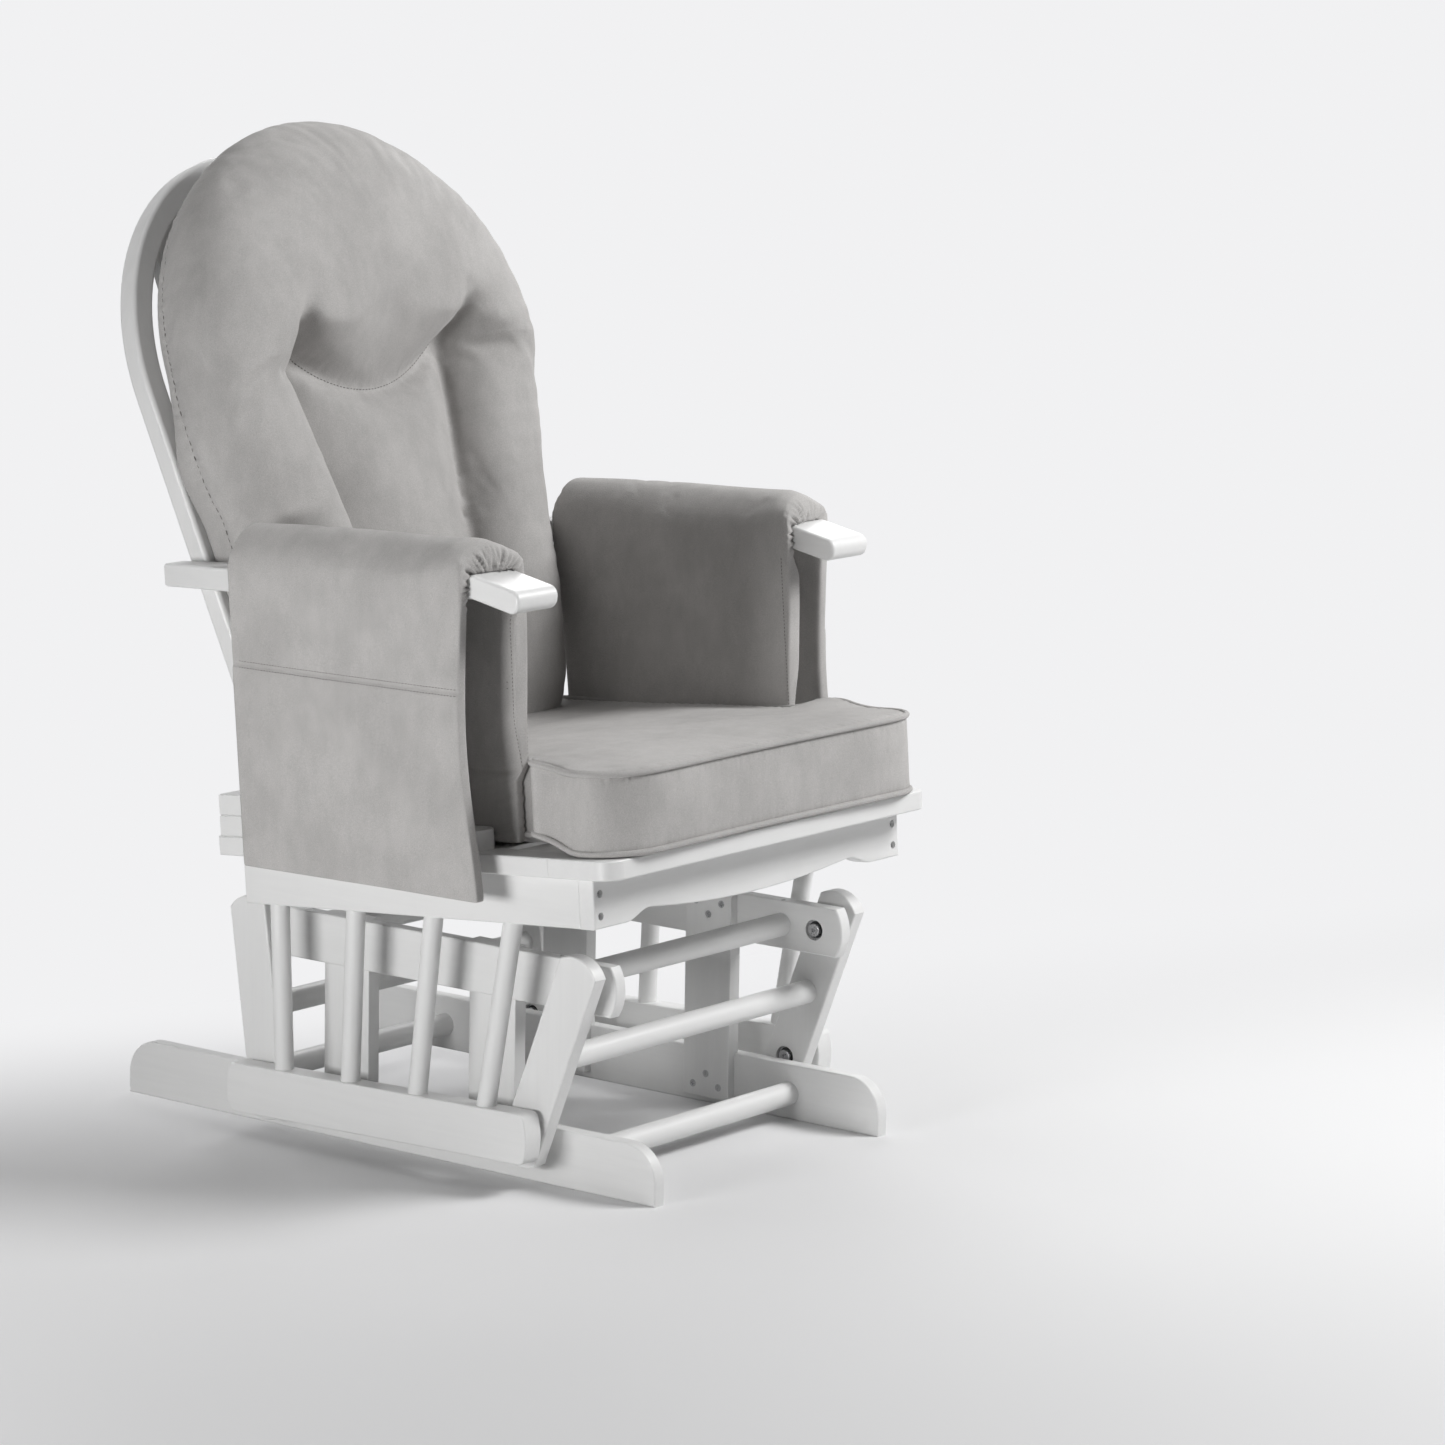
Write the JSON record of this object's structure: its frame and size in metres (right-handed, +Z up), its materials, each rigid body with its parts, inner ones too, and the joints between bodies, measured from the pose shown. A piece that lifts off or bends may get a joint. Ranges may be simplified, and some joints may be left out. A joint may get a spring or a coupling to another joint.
{
  "type": "glider nursery chair",
  "caption": "Nursery glider chair with a hoop back, grey cushions and draped arm pads, whose seat swings on paired links from a white painted wooden base.",
  "frame": {"origin": "on the floor, under the middle of the chair's bounding box", "axes": "+Z up, -Y towards the front, +X towards the sitter's left"},
  "size_m": [0.604, 0.7676, 1.0264],
  "materials": {
    "painted_wood": "satin white paint",
    "upholstery": "grey brushed suede weave",
    "steel": "zinc plated",
    "bearing_steel": "ground, with dark seals"
  },
  "bodies": {
    "base": {"floor_rail_left": "painted_wood", "floor_rail_right": "painted_wood", "upper_rail_left": "painted_wood", "upper_rail_right": "painted_wood", "post_front_left": "painted_wood", "post_front_right": "painted_wood", "post_rear_left": "painted_wood", "post_rear_right": "painted_wood", "floor_dowel_front": "painted_wood", "floor_dowel_rear": "painted_wood", "upper_dowel_front": "painted_wood", "upper_dowel_rear": "painted_wood", "post_screws": "steel", "dowel_lock_screws": "steel", "upper_pivot_bearings": "bearing_steel"},
    "front_links": {"front_link_dowel": "painted_wood", "front_link_inserts": "steel", "front_link_left": "painted_wood", "front_link_right": "painted_wood", "front_lower_pivot_bearings": "bearing_steel", "front_upper_pivot_bolts": "steel", "front_upper_pivot_spacers": "steel"},
    "rear_links": {"rear_link_dowel": "painted_wood", "rear_link_inserts": "steel", "rear_link_left": "painted_wood", "rear_link_right": "painted_wood", "rear_lower_pivot_bearings": "bearing_steel", "rear_upper_pivot_bolts": "steel", "rear_upper_pivot_spacers": "steel"},
    "seat": {"arm_base_rail_left": "painted_wood", "arm_base_rail_right": "painted_wood", "arm_bolts": "steel", "arm_pad_left": "upholstery", "arm_pad_right": "upholstery", "arm_spindles_left": "painted_wood", "arm_spindles_right": "painted_wood", "armrest_left": "painted_wood", "armrest_right": "painted_wood", "back_cushion": "upholstery", "back_hoop": "painted_wood", "back_rail": "painted_wood", "back_slats": "painted_wood", "base_spindles_left": "painted_wood", "base_spindles_right": "painted_wood", "deck_front_board": "painted_wood", "deck_rear_board": "painted_wood", "deck_side_board_left": "painted_wood", "deck_side_board_right": "painted_wood", "front_rail_screws": "steel", "lower_pivot_bolts": "steel", "lower_pivot_spacers": "steel", "lower_rail_inserts": "steel", "lower_rail_left": "painted_wood", "lower_rail_right": "painted_wood", "seat_cushion": "upholstery", "seat_front_rail": "painted_wood", "seat_rear_rail": "painted_wood", "seat_side_rail_left": "painted_wood", "seat_side_rail_right": "painted_wood", "seat_slats": "painted_wood"}
  },
  "joints": [
    {"name": "rear_link_swing", "type": "hinge", "parent": "base", "child": "rear_links", "pos_m": [0, 0.13636, 0.209], "axis": [-1, 0, 0], "range_deg": [-7, 17]},
    {"name": "front_link_swing", "type": "hinge", "parent": "base", "child": "front_links", "pos_m": [0, -0.29314, 0.209], "axis": [-1, 0, 0], "range_deg": [-7.19, 17.31]},
    {"name": "seat_swing", "type": "hinge", "parent": "rear_links", "child": "seat", "pos_m": [0, 0.11382, 0.0506], "axis": [-1, 0, 0], "range_deg": [-20.88, 8.66]}
  ],
  "couplings": [
    {"joint": "front_link_swing", "follows": "rear_link_swing", "ratio": 1.0124},
    {"joint": "seat_swing", "follows": "rear_link_swing", "ratio": -1.2225}
  ]
}
